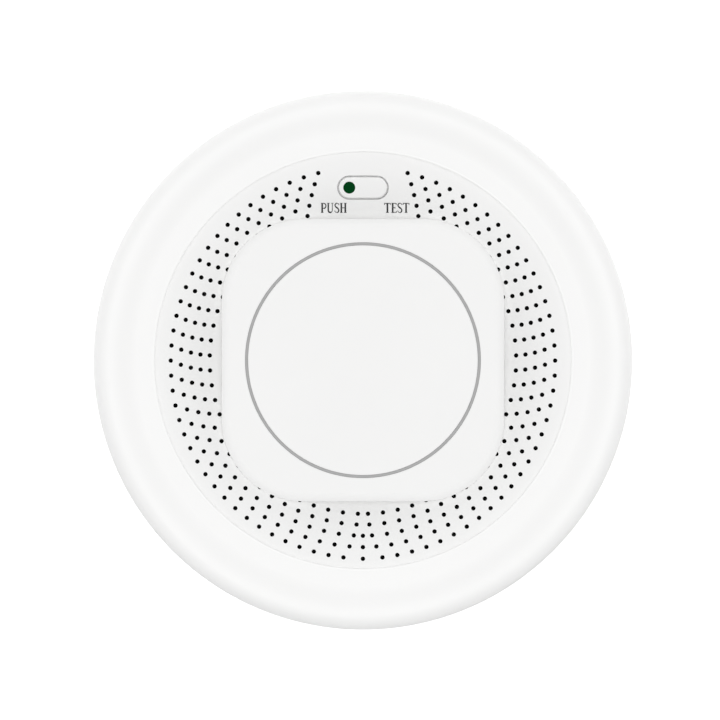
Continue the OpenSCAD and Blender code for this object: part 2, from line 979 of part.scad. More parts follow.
module contact_plate()
    color(steel)
        translate([bay_l / 2 - contact_t - 0.02, 0, 0]) {
            plate_w = 9;
            plate_h = 10;
            translate([0, -plate_w / 2, cell_z - plate_h / 2])
                cube([contact_t, plate_w, plate_h]);
            translate([0, -tail_w / 2, cell_z])
                cube([contact_t, tail_w, board_top + 0.8 - cell_z]);
        }

module plate_contacts()
    for (turn = [0, 180])
        rotate([0, 0, turn])
            translate([0, -cell_y, 0]) {
                contact_plate();
                color(steel)
                    translate([bay_l / 2 - contact_t - dimple_h - 0.02, 0, cell_z])
                        rotate([0, 90, 0])
                            cylinder(r1 = 2, r2 = 2.6, h = dimple_h + 0.1);
            }

// A conical coil: rings of points round a helix, joined into one closed surface
coil_turns = 4;
coil_steps = 14;
wire_sides = 6;
wire_r = 0.4;
function coil_radius(t) = 5 - 1.6 * t;
function coil_ring(i, length) =
    let (t = i / (coil_turns * coil_steps), a = 360 * i / coil_steps)
    [for (k = [0:wire_sides - 1])
        let (r = coil_radius(t) + wire_r * cos(360 * k / wire_sides))
        [r * cos(a), r * sin(a), wire_r + t * (length - 2 * wire_r) + wire_r * sin(360 * k / wire_sides)]];

module coil_spring(length) {
    last = coil_turns * coil_steps;
    points = [for (i = [0:last]) each coil_ring(i, length)];
    sides = [for (i = [0:last - 1], k = [0:wire_sides - 1])
        let (here = i * wire_sides, n = (k + 1) % wire_sides)
        each [
            [here + k, here + wire_sides + n, here + wire_sides + k],
            [here + k, here + n, here + wire_sides + n]
        ]];
    start_cap = [for (k = [1:wire_sides - 2]) [0, k + 1, k]];
    end_cap = [for (k = [1:wire_sides - 2])
        [last * wire_sides, last * wire_sides + k, last * wire_sides + k + 1]];
    polyhedron(points = points, faces = concat(sides, start_cap, end_cap));
}

module spring_contacts()
    for (turn = [0, 180])
        rotate([0, 0, turn])
            translate([0, cell_y, 0]) {
                contact_plate();
                color(steel)
                    translate([bay_l / 2 - contact_t + 0.2, 0, cell_z])
                        rotate([0, -90, 0])
                            coil_spring(bay_l / 2 - contact_t + 0.2 + cell_end_x - fit_gap);
            }

module battery_door()
    color(shell_white)
        union() {
            difference() {
                translate([-door_l / 2, hinge_y, well_z])
                    cube([door_l, door_front_y - hinge_y, door_t]);
                // Finger grip grooves
                for (i = [0:3])
                    block([12, grip_w, grip_w], [0, door_front_y - 3 - grip_pitch * i, well_z - grip_w / 2]);
            }
            translate([-door_l / 2, hinge_y, hinge_z])
                rotate([0, 90, 0])
                    cylinder(r = barrel_r, h = door_l);
            translate([-recess_l / 2 - hinge_pin_l + 0.2, hinge_y, hinge_z])
                rotate([0, 90, 0])
                    cylinder(r = hinge_pin_r, h = recess_l + 2 * hinge_pin_l - 0.4);
            // Latch finger
            block([latch_w, latch_l, door_t], [0, door_front_y + latch_l / 3, well_z]);
        }

// ---------- fasteners ----------

module housing_screws()
    color(steel)
        around(4)
            translate([housing_screw_ring, 0, floor_z + housing_head_h + 0.4 - 0.02])
                rotate([180, 0, 0])
                    pan_screw(housing_head_r, housing_head_h, housing_shank_r, 10.5);

module grille_screws()
    color(steel)
        around(4, 45)
            translate([grille_screw_ring, 0, ear_z - 0.02])
                rotate([180, 0, 0])
                    pan_screw(small_head_r, small_head_h, small_shank_r, 3.9);

module board_screws()
    color(steel)
        around(4, 45)
            translate([board_screw_ring, 0, board_top + 0.02])
                pan_screw(small_head_r, small_head_h, small_shank_r, 7);

mounting_bracket();
rear_housing();
front_cover();
smoke_grille();
dust_screen();
center_cap();
accent_ring();
main_board();
chamber_base();
chamber_cover();
insect_screen();
infrared_emitter();
photodiode();
sounder_case();
piezo_disc();
sounder_lid();
switch_base();
switch_frame();
switch_plunger();
test_button();
light_pipe();
status_led();
microcontroller();
boost_inductor();
smoothing_capacitor();
chip_resistors();
battery_cell_a();
battery_cell_b();
spring_contacts();
plate_contacts();
battery_door();
housing_screws();
grille_screws();
board_screws();
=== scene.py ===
"""Ceiling smoke alarm: materials, smooth shells, printed words, light and camera round the frame."""

import math

import bmesh
import bpy
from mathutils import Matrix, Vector
from mathutils.geometry import delaunay_2d_cdt


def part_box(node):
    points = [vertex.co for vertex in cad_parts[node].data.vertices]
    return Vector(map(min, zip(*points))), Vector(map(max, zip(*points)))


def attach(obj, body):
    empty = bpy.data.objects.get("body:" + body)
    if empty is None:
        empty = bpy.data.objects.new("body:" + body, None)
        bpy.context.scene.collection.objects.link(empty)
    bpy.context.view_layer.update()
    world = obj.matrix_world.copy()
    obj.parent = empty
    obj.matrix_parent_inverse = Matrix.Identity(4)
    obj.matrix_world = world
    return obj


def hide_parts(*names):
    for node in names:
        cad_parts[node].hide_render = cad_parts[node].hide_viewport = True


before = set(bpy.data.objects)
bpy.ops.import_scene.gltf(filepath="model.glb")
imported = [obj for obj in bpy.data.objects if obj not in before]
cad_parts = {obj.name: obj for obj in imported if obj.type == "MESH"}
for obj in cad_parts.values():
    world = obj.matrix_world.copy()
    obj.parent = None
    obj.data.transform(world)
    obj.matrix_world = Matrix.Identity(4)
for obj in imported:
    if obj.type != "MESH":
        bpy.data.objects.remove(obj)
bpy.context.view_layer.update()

MM = 0.001
LATHE_STEPS = 256
SHARP_ANGLE = math.radians(35)


# ---------- sizes read from the frame ----------


def inner_edge(node):
    """Radius of a ring-shaped node's inner edge and the height of its top there."""
    corners = [(math.hypot(v.co.x, v.co.y), v.co.z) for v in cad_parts[node].data.vertices]
    radius = min(corners)[0]
    return radius, max(z for r, z in corners if r < radius + 0.01 * MM)


cover_low, cover_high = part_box("front_cover")
grille_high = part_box("smoke_grille")[1]
accent_low, accent_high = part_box("accent_ring")
button_low, button_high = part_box("test_button")
pipe_low, pipe_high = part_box("light_pipe")

COVER_R = cover_high.y
COVER_BOTTOM = cover_low.z
COVER_TOP = cover_high.z
FLANGE_R = grille_high.y
FLANGE_W = 1.7 * MM
LIP_R = FLANGE_R - FLANGE_W
LIP_H = 0.65 * MM
DISH_EDGE_Z = grille_high.z
SHELF_Z = DISH_EDGE_Z + LIP_H
DISH_HOLE_R, DISH_HOLE_Z = inner_edge("smoke_grille")
DISH_ARC_R = 30 * MM
DISH_EDGE_SLOPE = math.radians(3)
DISH_ARC_X = LIP_R + DISH_ARC_R * math.sin(DISH_EDGE_SLOPE)
DISH_ARC_Z = DISH_HOLE_Z - math.sqrt(DISH_ARC_R**2 - (DISH_HOLE_R - DISH_ARC_X) ** 2)
BUTTON_Y = (button_low.y + button_high.y) / 2
PIPE_X = (pipe_low.x + pipe_high.x) / 2


def dish_height(radius):
    """Height of the perforated dish, whose section is an arc that falls away towards the centre."""
    return DISH_ARC_Z + math.sqrt(DISH_ARC_R**2 - (radius - DISH_ARC_X) ** 2)


# ---------- mesh helpers ----------


def make_piece(name, shape, body, material, replaced=()):
    """A mesh object from (vertices, faces) that rides on a body, smooth with its sharp edges kept."""
    verts, faces = shape
    mesh = bpy.data.meshes.new(name)
    mesh.from_pydata([tuple(v) for v in verts], [], faces)
    work = bmesh.new()
    work.from_mesh(mesh)
    bmesh.ops.remove_doubles(work, verts=work.verts, dist=0.0005 * MM)
    bmesh.ops.recalc_face_normals(work, faces=work.faces)
    work.to_mesh(mesh)
    work.free()
    mesh.shade_smooth()
    mesh.set_sharp_from_angle(angle=SHARP_ANGLE)
    piece = bpy.data.objects.new(name, mesh)
    bpy.context.scene.collection.objects.link(piece)
    piece.data.materials.append(material)
    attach(piece, body)
    if replaced:
        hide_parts(*replaced)


def arc(centre, radii, start, end, steps):
    """Points in even steps along an arc of an ellipse, with its angles in degrees."""
    turns = [math.radians(start + (end - start) * k / steps) for k in range(steps + 1)]
    return [(centre[0] + radii[0] * math.cos(t), centre[1] + radii[1] * math.sin(t)) for t in turns]


def circle(centre, radius, steps=48):
    """Corners of a round outline."""
    return [Vector(point) for point in arc(centre, (radius, radius), 0, 360, steps)[:-1]]


def lathe(profile, centre=(0, 0), steps=LATHE_STEPS, close=True):
    """Vertices and faces of a profile of (radius, height) points turned about a vertical axis."""
    count = len(profile)
    verts = []
    for i in range(steps):
        x, y = math.cos(2 * math.pi * i / steps), math.sin(2 * math.pi * i / steps)
        verts += [(centre[0] + radius * x, centre[1] + radius * y, height) for radius, height in profile]
    faces = []
    for i in range(steps):
        here, beside = i * count, (i + 1) % steps * count
        for k in range(count if close else count - 1):
            up = (k + 1) % count
            faces.append((here + k, beside + k, beside + up, here + up))
    return verts, faces


def skin(rings, close_ends=False):
    """Vertices and faces that join a stack of equally long closed rings of points."""
    verts = [point for ring in rings for point in ring]
    count = len(rings[0])
    faces = []
    for low in range(0, count * (len(rings) - 1), count):
        for i in range(count):
            beside = (i + 1) % count
            faces.append((low + i, low + beside, low + count + beside, low + count + i))
    if close_ends:
        faces.append(tuple(range(count)))
        faces.append(tuple(range(len(verts) - count, len(verts))))
    return verts, faces


def joined(shapes):
    """One pair of vertices and faces from several."""
    verts, faces = [], []
    for part_verts, part_faces in shapes:
        base = len(verts)
        verts += part_verts
        faces += [tuple(i + base for i in face) for face in part_faces]
    return verts, faces


def level_ring(outline, height):
    """A flat outline as points in space, at one height or at a height worked out for each point."""
    return [(p.x, p.y, height(p) if callable(height) else height) for p in outline]


def flat_fill(outlines, spacing=0):
    """Points and triangles that cover overlapping polygons once, and the polygons each triangle is in.

    With a spacing, a grid of extra points over the first polygon's box lets the triangles follow a curve.
    """
    corners, loops = [], []
    for outline in outlines:
        loops.append(list(range(len(corners), len(corners) + len(outline))))
        corners += outline
    if spacing:
        low, high = ([pick(p[i] for p in outlines[0]) for i in (0, 1)] for pick in (min, max))
        columns, rows = (int((high[i] - low[i]) / spacing) for i in (0, 1))
        corners += [
            Vector((low[0] + (i + 0.5) * spacing, low[1] + (j + 0.5) * spacing))
            for i in range(columns)
            for j in range(rows)
        ]
    inside_only, tolerance = 1, 1e-9
    points, _, triangles, _, _, owners = delaunay_2d_cdt(corners, [], loops, inside_only, tolerance)
    return points, triangles, owners


# ---------- materials ----------


class Nodes:
    """Short calls for building the node tree of a material or a world."""

    def __init__(self, owner):
        owner.use_nodes = True
        self.tree = owner.node_tree

    def new(self, kind, **settings):
        """A shader node of that kind with those properties."""
        node = self.tree.nodes.new("ShaderNode" + kind)
        for name, value in settings.items():
            setattr(node, name, value)
        return node

    def feed(self, socket, value):
        """Sets an input to a plain value or links it to another node's output."""
        if isinstance(value, bpy.types.NodeSocket):
            self.tree.links.new(value, socket)
        else:
            socket.default_value = value

    def math(self, operation, first, second):
        """The result of a sum on two numbers."""
        node = self.new("Math", operation=operation)
        self.feed(node.inputs[0], first)
        self.feed(node.inputs[1], second)
        return node.outputs["Value"]

    def vector_math(self, operation, output, first, second=None):
        """The named output of a sum on one or two vectors."""
        node = self.new("VectorMath", operation=operation)
        self.feed(node.inputs[0], first)
        if second is not None:
            self.feed(node.inputs[1], second)
        return node.outputs[output]

    def component(self, vector, axis):
        """One of a vector's X, Y and Z."""
        node = self.new("SeparateXYZ")
        self.feed(node.inputs["Vector"], vector)
        return node.outputs[axis]

    def map_range(self, source, low, high, to_low=0.0, to_high=1.0):
        """Maps low..high to to_low..to_high and holds the ends beyond them."""
        node = self.new("MapRange")
        limits = {"From Min": low, "From Max": high, "To Min": to_low, "To Max": to_high}
        for name, value in limits.items():
            node.inputs[name].default_value = value
        self.feed(node.inputs["Value"], source)
        return node.outputs["Result"]

    def span(self, source, low, high):
        """Maps 0..1 to a number between low and high."""
        return self.map_range(source, 0.0, 1.0, low, high)

    def mix(self, factor, first, second, kind="RGBA", blend="MIX"):
        """A colour, or a number where kind is FLOAT, that goes from first to second with the factor."""
        node = self.new("Mix", data_type=kind, blend_type=blend)
        for name, value in (("Factor", factor), ("A", first), ("B", second)):
            self.feed(node.inputs[name], value)
        return node.outputs["Result"]

    def ramp(self, source, low, high):
        """Maps 0..1 to a colour between low and high."""
        return self.mix(source, (*low, 1), (*high, 1))


class Surface(Nodes):
    """A material with its main shader and the piece's own coordinates."""

    def __init__(self, name):
        self.material = bpy.data.materials.new(name)
        super().__init__(self.material)
        self.shader = self.tree.nodes["Principled BSDF"]
        self.place = self.new("TexCoord").outputs["Object"]

    def set(self, **values):
        """Sets the shader's inputs, with an underscore for each space in their names."""
        for name, value in values.items():
            self.feed(self.shader.inputs[name.replace("_", " ")], value)

    def noise(self, scale, detail=2.0, stretch=None):
        """Noise from 0 to 1, with its coordinates scaled by the stretch."""
        node = self.new("TexNoise")
        node.inputs["Scale"].default_value = scale
        node.inputs["Detail"].default_value = detail
        place = self.place
        if stretch:
            mapping = self.new("Mapping")
            mapping.inputs["Scale"].default_value = stretch
            self.feed(mapping.inputs["Vector"], self.place)
            place = mapping.outputs["Vector"]
        self.feed(node.inputs["Vector"], place)
        return node.outputs["Fac"]

    def from_axis(self, near, far):
        """Rises from 0 to 1 between two distances from the alarm's axis."""
        flat = self.vector_math("MULTIPLY", "Vector", self.place, (1, 1, 0))
        return self.map_range(self.vector_math("LENGTH", "Value", flat), near, far)

    def painted_crease_light(self, tone, distance):
        """The tone, lifted towards white where the surface is closely overhung: painted light that
        cancels the shade in creases.
        """
        at_closed, at_open, painted_light_white = 0.3, 1.02, (0.995, 0.995, 0.99, 1)
        openness = self.new("AmbientOcclusion", samples=6)
        openness.inputs["Distance"].default_value = distance
        return self.mix(self.span(openness.outputs["AO"], at_closed, at_open), painted_light_white, tone)

    def bump(self, source, depth, edge=0.0):
        """Bump of that depth in metres, over an edge rounding of that radius."""
        node = self.new("Bump")
        node.inputs["Distance"].default_value = depth
        self.feed(node.inputs["Height"], source)
        if edge:
            bevel = self.new("Bevel", samples=4)
            bevel.inputs["Radius"].default_value = edge
            self.feed(node.inputs["Normal"], bevel.outputs["Normal"])
        self.set(Normal=node.outputs["Normal"])


def shade(color, factor):
    """A colour made lighter or darker."""
    return tuple(min(1.0, c * factor) for c in color)


def moulded_plastic(
    name, color, roughness, edge=0.0, grain=0.004 * MM, variation=0.012, crease_light_reach=0.0, painted_centre_shade=1.0
):
    """Injection-moulded plastic: fine spark-eroded grain, slow tone drift and uneven gloss.

    Where another surface is closer than the crease reach the tone is lifted towards white: painted light
    that cancels the shade there. Painted shade darkens the tone by that factor towards the dish's middle.
    """
    look = Surface(name)
    tone = look.ramp(look.noise(35, 3), shade(color, 1 - variation), shade(color, 1 + variation))
    # Painted shade: the tone darkens towards the middle of the dish.
    if painted_centre_shade < 1:
        darkest_shade_r, unshaded_r = 33 * MM, 42 * MM
        centre_shaded_tone = look.span(look.from_axis(darkest_shade_r, unshaded_r), painted_centre_shade, 1.0)
        tone = look.mix(1.0, tone, centre_shaded_tone, blend="MULTIPLY")
    # Painted light: a paler tone where creases would be shaded.
    if crease_light_reach:
        tone = look.painted_crease_light(tone, crease_light_reach)
    gloss_drift = look.span(look.noise(260, 4), roughness - 0.05, roughness + 0.05)
    look.set(Base_Color=tone, Roughness=gloss_drift, IOR=1.46)
    look.bump(look.noise(5200, 3), grain, edge)
    return look.material


def metal(name, color, roughness, stretch=(1, 1, 1), edge=0.05 * MM):
    """Plated or rolled metal with fine drawn lines along the unstretched axis."""
    look = Surface(name)
    lines = look.noise(900, 4, stretch)
    look.set(
        Base_Color=look.ramp(lines, shade(color, 0.88), shade(color, 1.06)),
        Roughness=look.span(lines, roughness - 0.08, roughness + 0.1),
        Metallic=1.0,
    )
    look.bump(lines, 0.003 * MM, edge)
    return look.material


def woven_mesh(name, color, pitch):
    """A fine woven cloth: threads as crossed bands, over and under."""
    look = Surface(name)
    bands = []
    for axis in ("X", "Y"):
        wave = look.new("TexWave", bands_direction=axis)
        wave.inputs["Scale"].default_value = 1 / (pitch * 3)
        look.feed(wave.inputs["Vector"], look.place)
        bands.append(wave.outputs["Fac"])
    cross = look.math("MULTIPLY", *bands)
    woven_tone = look.ramp(cross, shade(color, 0.4), color)
    look.set(Base_Color=woven_tone, Roughness=0.95, Specular_IOR_Level=0.1)
    look.bump(cross, 0.05 * MM)
    return look.material


def circuit_board(name, mask, copper):
    """Solder mask over faintly raised tracks and pads."""
    look = Surface(name)
    cells = look.new("TexBrick")
    for socket, value in (("Scale", 260), ("Mortar Size", 0.05)):
        cells.inputs[socket].default_value = value
    for socket, color in (("Color1", mask), ("Color2", shade(mask, 0.8)), ("Mortar", copper)):
        cells.inputs[socket].default_value = (*color, 1)
    look.feed(cells.inputs["Vector"], look.place)
    look.set(Base_Color=cells.outputs["Color"], Roughness=look.span(look.noise(500, 3), 0.25, 0.4))
    look.bump(cells.outputs["Fac"], 0.03 * MM, 0.1 * MM)
    return look.material


def clear_resin(name, color, roughness=0.12, gloss=0.5):
    """Tinted epoxy or a polished lens: darker where it is thick, glossy, with faint flow marks."""
    look = Surface(name)
    facing = look.new("LayerWeight")
    facing.inputs["Blend"].default_value = 0.35
    look.set(
        Base_Color=look.ramp(facing.outputs["Facing"], color, shade(color, 1.8)),
        Roughness=look.span(look.noise(900, 2), roughness, roughness + 0.08),
        IOR=1.5,
        Specular_IOR_Level=gloss,
    )
    look.bump(look.noise(700, 2), 0.002 * MM)
    return look.material


WHITE = (0.92, 0.92, 0.915)
# Reach of the painted light that whitens shaded creases.
CREASE_LIGHT_REACH = 2 * MM
cover_white = moulded_plastic("cover_white", WHITE, 0.42, crease_light_reach=CREASE_LIGHT_REACH)
# The grille's tone carries painted shade towards the dish's middle.
grille_white = moulded_plastic("grille_white", shade(WHITE, 0.94), 0.5, crease_light_reach=CREASE_LIGHT_REACH, painted_centre_shade=0.955)
cap_white = moulded_plastic("cap_white", shade(WHITE, 0.945), 0.45, crease_light_reach=CREASE_LIGHT_REACH)
button_white = moulded_plastic("button_white", shade(WHITE, 0.94), 0.4)
back_white = moulded_plastic("back_white", shade(WHITE, 0.96), 0.5, edge=0.25 * MM, grain=0.006 * MM)
accent_grey = moulded_plastic("accent_grey", (0.375, 0.375, 0.375), 0.4)
matt_black = moulded_plastic("matt_black", (0.018, 0.018, 0.019), 0.75, edge=0.1 * MM)
dark_body = moulded_plastic("dark_body", (0.03, 0.03, 0.032), 0.5, edge=0.05 * MM)
ferrite = moulded_plastic("ferrite", (0.05, 0.05, 0.055), 0.6, 0.1 * MM, 0.02 * MM, variation=0.2)
cell_wrap = moulded_plastic("cell_wrap", (0.05, 0.06, 0.07), 0.25, variation=0.1)
cell_band = moulded_plastic("cell_band", (0.42, 0.24, 0.07), 0.25, variation=0.06)
print_ink = moulded_plastic("print_ink", (0.022, 0.022, 0.024), 0.6, grain=0.002 * MM, variation=0.15)
steel = metal("steel", (0.62, 0.62, 0.63), 0.3, stretch=(1, 1, 8))
screen_steel = metal("screen_steel", (0.5, 0.5, 0.51), 0.4, stretch=(1, 1, 0.2))
brass = metal("brass", (0.72, 0.52, 0.22), 0.3, stretch=(6, 1, 1))
aluminium = metal("aluminium", (0.7, 0.7, 0.72), 0.35, stretch=(1, 1, 0.2))
dust_cloth = woven_mesh("dust_cloth", (0.006, 0.006, 0.006), 0.25 * MM)
board_green = circuit_board("board_green", (0.012, 0.14, 0.045), (0.02, 0.2, 0.07))
green_lens = clear_resin("green_lens", (0.0, 0.044, 0.008), 0.3, gloss=0.02)
led_green = clear_resin("led_green", (0.25, 0.55, 0.25))
emitter_blue = clear_resin("emitter_blue", (0.25, 0.33, 0.6))
diode_dark = clear_resin("diode_dark", (0.02, 0.02, 0.025))


# ---------- CAD nodes that keep their shape ----------

CAD_LOOKS = {
    "mounting_bracket": back_white,
    "rear_housing": back_white,
    "battery_door": back_white,
    "smoke_grille": grille_white,
    "dust_screen": dust_cloth,
    "center_cap": cap_white,
    "main_board": board_green,
    "chamber_base": matt_black,
    "chamber_cover": matt_black,
    "insect_screen": screen_steel,
    "infrared_emitter": emitter_blue,
    "photodiode": diode_dark,
    "sounder_case": matt_black,
    "sounder_lid": matt_black,
    "piezo_disc": brass,
    "switch_base": matt_black,
    "switch_frame": steel,
    "switch_plunger": matt_black,
    "status_led": led_green,
    "microcontroller": dark_body,
    "boost_inductor": ferrite,
    "smoothing_capacitor": aluminium,
    "chip_resistors": dark_body,
    "spring_contacts": steel,
    "plate_contacts": steel,
    "housing_screws": steel,
    "grille_screws": steel,
    "board_screws": steel,
}
for node, material in CAD_LOOKS.items():
    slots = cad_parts[node].data.materials
    slots.clear()
    slots.append(material)


# ---------- front cover ----------

COVER_WALL = 2 * MM
SHOULDER_R = 3.4 * MM
SIDE_TOP = COVER_TOP - SHOULDER_R
SIDE_DRAFT = 1.2 * MM
FOOT_H = 0.4 * MM
CREST_R = COVER_R - SHOULDER_R
TROUGH_R = COVER_R - 9.6 * MM
CONE_SHARE = 0.55
LIP_RUN = 0.4 * MM
LIP_SLOPE_DEG = 16
SEAT_Z = DISH_EDGE_Z + 0.005 * MM


def face_height(radius):
    """Height of the cover's face: a shallow cone from the lip that steepens once before its crest."""
    cone = math.sin(math.pi / 2 * (radius - LIP_R) / (CREST_R - LIP_R))
    rise = (1 - math.cos(math.pi * max(0, radius - TROUGH_R) / (CREST_R - TROUGH_R))) / 2
    return SHELF_Z + (COVER_TOP - SHELF_Z) * (CONE_SHARE * cone + (1 - CONE_SHARE) * rise)


def cover_line():
    """Outer line of the cover's section from its bottom edge to the inner lip, as (radius, height)."""
    side_steps, shoulder_steps, face_steps, lip_steps = 24, 40, 60, 8
    side_low = COVER_BOTTOM + FOOT_H
    line = []
    for k in range(side_steps + 1):
        t = k / side_steps
        line.append((COVER_R - SIDE_DRAFT * (1 - t) ** 2, side_low + (SIDE_TOP - side_low) * t))
    line += arc((CREST_R, SIDE_TOP), (SHOULDER_R, SHOULDER_R), 0, 90, shoulder_steps)[1:]
    face_inner_r = LIP_R + LIP_RUN
    for k in range(1, face_steps + 1):
        radius = CREST_R + (face_inner_r - CREST_R) * k / face_steps
        line.append((radius, face_height(radius)))
    lip_round = LIP_RUN / math.sin(math.radians(LIP_SLOPE_DEG))
    lip_centre = (face_inner_r, face_height(face_inner_r) - lip_round)
    line += arc(lip_centre, (lip_round, lip_round), 90, 90 + LIP_SLOPE_DEG, lip_steps)[1:]
    line.append((LIP_R, SEAT_Z))
    return line


def screw_boss(turn, ring_r, boss_r, low, top):
    """A tube at that angle in degrees on a ring, with a screw hole half as wide as the tube."""
    centre = (ring_r * math.cos(math.radians(turn)), ring_r * math.sin(math.radians(turn)))
    hole_r = boss_r / 2
    return lathe([(hole_r, low), (boss_r, low), (boss_r, top), (hole_r, top)], centre, steps=32)


def front_cover():
    """The outer shell: its turned section and the bosses for the housing's and the grille's screws."""
    flange_seat_r = FLANGE_R + 0.05 * MM
    under_shelf = SHELF_Z - COVER_WALL
    foot_r = COVER_R - SIDE_DRAFT
    inside = [
        (flange_seat_r, SEAT_Z),
        (flange_seat_r, under_shelf),
        (COVER_R - 11 * MM, under_shelf),
        (COVER_R - 4.4 * MM, COVER_TOP - COVER_WALL - 0.4 * MM),
        (COVER_R - 2.5 * MM, COVER_TOP - 3.2 * MM),
        (COVER_R - COVER_WALL, COVER_TOP - 5 * MM),
        (foot_r - COVER_WALL, COVER_BOTTOM + 0.3 * MM),
        (foot_r - COVER_WALL + 0.3 * MM, COVER_BOTTOM),
        (foot_r - FOOT_H, COVER_BOTTOM),
    ]
    shapes = [lathe(cover_line() + inside)]
    housing_ring_r, housing_boss_r, housing_boss_low = 51.4 * MM, 3.0 * MM, 11.8 * MM
    grille_ring_r, grille_boss_r, grille_boss_low = 50.0 * MM, 2.6 * MM, DISH_EDGE_Z - 2.55 * MM
    boss_top = under_shelf + 0.5 * MM
    for turn in (0, 90, 180, 270):
        shapes.append(screw_boss(turn, housing_ring_r, housing_boss_r, housing_boss_low, boss_top))
        shapes.append(screw_boss(turn + 45, grille_ring_r, grille_boss_r, grille_boss_low, boss_top))
    make_piece("cover_shell", joined(shapes), "head", cover_white, ["front_cover"])


front_cover()


# ---------- printed words beside the button ----------

# Pen widths and places on a grid where a capital is 1 high
STEM, THICK, THIN, SERIF = 0.17, 0.15, 0.07, 0.05
SERIF_REACH = 0.13
FOOT, HEAD = 0.025, 0.975
LETTER_GAP = 0.09
LETTER_WIDTH = 1.09
INK_T = 0.03 * MM


def bar(x1, y1, x2, y2, width):
    """A straight pen stroke, as its points and its width."""
    return [(x1, y1), (x2, y2)], width


def bow(centre, radius_x, radius_y, start, end):
    """The points of a curved pen stroke."""
    return arc(centre, (radius_x, radius_y), start, end, 8)


def serif(x, y):
    """A short level stroke across the end of an upright."""
    return bar(x - SERIF_REACH, y, x + SERIF_REACH, y, SERIF)


def stem(x):
    """An upright with its foot and head."""
    return [bar(x, 0, x, 1, STEM), serif(x, FOOT), serif(x, HEAD)]


CAPITALS = {
    "P": stem(0.13) + [
        bar(0.13, 0.96, 0.28, 0.96, THIN),
        (bow((0.27, 0.7), 0.21, 0.26, 90, -90), 0.11),
        bar(0.13, 0.45, 0.28, 0.45, THIN),
    ],
    "U": [
        ([(0.13, 0.98)] + bow((0.32, 0.26), 0.19, 0.22, 180, 300), THICK),
        (bow((0.32, 0.26), 0.19, 0.22, 270, 360) + [(0.51, 0.98)], THIN),
        serif(0.13, HEAD),
        bar(0.4, HEAD, 0.62, HEAD, SERIF),
    ],
    "S": [
        (bow((0.24, 0.75), 0.19, 0.22, 10, 100), THIN),
        (bow((0.24, 0.76), 0.18, 0.21, 100, 235), 0.12),
        bar(0.13, 0.6, 0.34, 0.42, THICK),
        (bow((0.23, 0.25), 0.18, 0.22, 55, -80), 0.12),
        (bow((0.23, 0.25), 0.2, 0.22, -80, -175), THIN),
    ],
    "H": stem(0.13) + stem(0.5) + [bar(0.13, 0.51, 0.5, 0.51, THIN)],
    "T": [
        bar(0.02, 0.96, 0.58, 0.96, THIN),
        bar(0.3, 0, 0.3, 1, STEM),
        serif(0.3, FOOT),
        bar(0.03, 0.99, 0.03, 0.8, THIN),
        bar(0.57, 0.99, 0.57, 0.8, THIN),
    ],
    "E": stem(0.13) + [
        bar(0.13, 0.96, 0.46, 0.96, THIN),
        bar(0.13, 0.51, 0.36, 0.51, THIN),
        bar(0.13, 0.04, 0.48, 0.04, THIN),
        bar(0.45, 0.98, 0.45, 0.8, THIN),
        bar(0.47, 0.02, 0.47, 0.2, THIN),
        bar(0.35, 0.6, 0.35, 0.42, THIN),
    ],
}


def stroke(points, width):
    """Polygons that cover a pen stroke: a bar for each stretch and a disc at each joint."""
    outlines = []
    for a, b in zip(points, points[1:]):
        a, b = Vector(a), Vector(b)
        side = (b - a).orthogonal().normalized() * width / 2
        outlines.append([a + side, b + side, b - side, a - side])
    return outlines + [circle(point, width / 2, 10) for point in points[1:-1]]


def covers(outline, point):
    """True if the convex polygon holds the point."""
    turns = [(b - a).cross(point - a) > 0 for a, b in zip(outline, outline[1:] + outline[:1])]
    return all(turns) or not any(turns)


def printed_word(name, word, middle, height):
    """A word as a thin raised layer of ink that follows the dish."""
    outlines, x = [], 0
    for letter in word:
        reach = 0
        for points, width in CAPITALS[letter]:
            outlines += stroke([(x + px * LETTER_WIDTH, py) for px, py in points], width)
            reach = max(reach, *(px * LETTER_WIDTH for px, _ in points))
        x += reach + LETTER_GAP
    place = Vector((middle[0] - (x - LETTER_GAP) * height / 2, middle[1] - height / 2))
    outlines = [[corner * height + place for corner in outline] for outline in outlines]
    points, triangles, _ = flat_fill(outlines)
    inked = []
    for tri in triangles:
        centre = sum((points[i] for i in tri), Vector((0, 0))) / 3
        if any(covers(outline, centre) for outline in outlines):
            inked.append(tri)
    low = level_ring(points, lambda p: dish_height(p.length) - INK_T)
    top = level_ring(points, lambda p: dish_height(p.length) + INK_T)
    count = len(points)
    faces = [tuple(i + count for i in tri) for tri in inked] + [tuple(reversed(tri)) for tri in inked]
    edges = {(tri[k], tri[(k + 1) % 3]) for tri in inked for k in range(3)}
    faces += [(a, b, b + count, a + count) for a, b in edges if (b, a) not in edges]
    make_piece(name, (low + top, faces), "head", print_ink)


WORD_Y = BUTTON_Y - 4.5 * MM
CAPITAL_H = 2.2 * MM
printed_word("word_push", "PUSH", (-6.5 * MM, WORD_Y), CAPITAL_H)
printed_word("word_test", "TEST", (7.5 * MM, WORD_Y), CAPITAL_H)


# ---------- test button, its light pipe and the grey circle ----------

BUTTON_L = 10.74 * MM
BUTTON_W = 4.64 * MM
BUTTON_PROUD = 0.3 * MM
BUTTON_EDGE_R = 0.3 * MM
LEDGE_W = 0.27 * MM
LEDGE_DROP = 1.25 * MM
BUTTON_FLANGE_LOW = pipe_low.z + 0.55 * MM
BUTTON_FLANGE_T = 1.0 * MM
BUTTON_FLANGE_W = 0.83 * MM
STEM_X = 2.3 * MM
STEM_R = 1.3 * MM
LENS_R = 1.3 * MM
LENS_GAP = 0.04 * MM


def stadium(length, width):
    """Outline of a bar with round ends, centred on the button."""
    reach, end_r = (length - width) / 2, width / 2
    right = arc((reach, BUTTON_Y), (end_r, end_r), -90, 90, 24)
    left = arc((-reach, BUTTON_Y), (end_r, end_r), 90, 270, 24)
    return [Vector(point) for point in right + left]


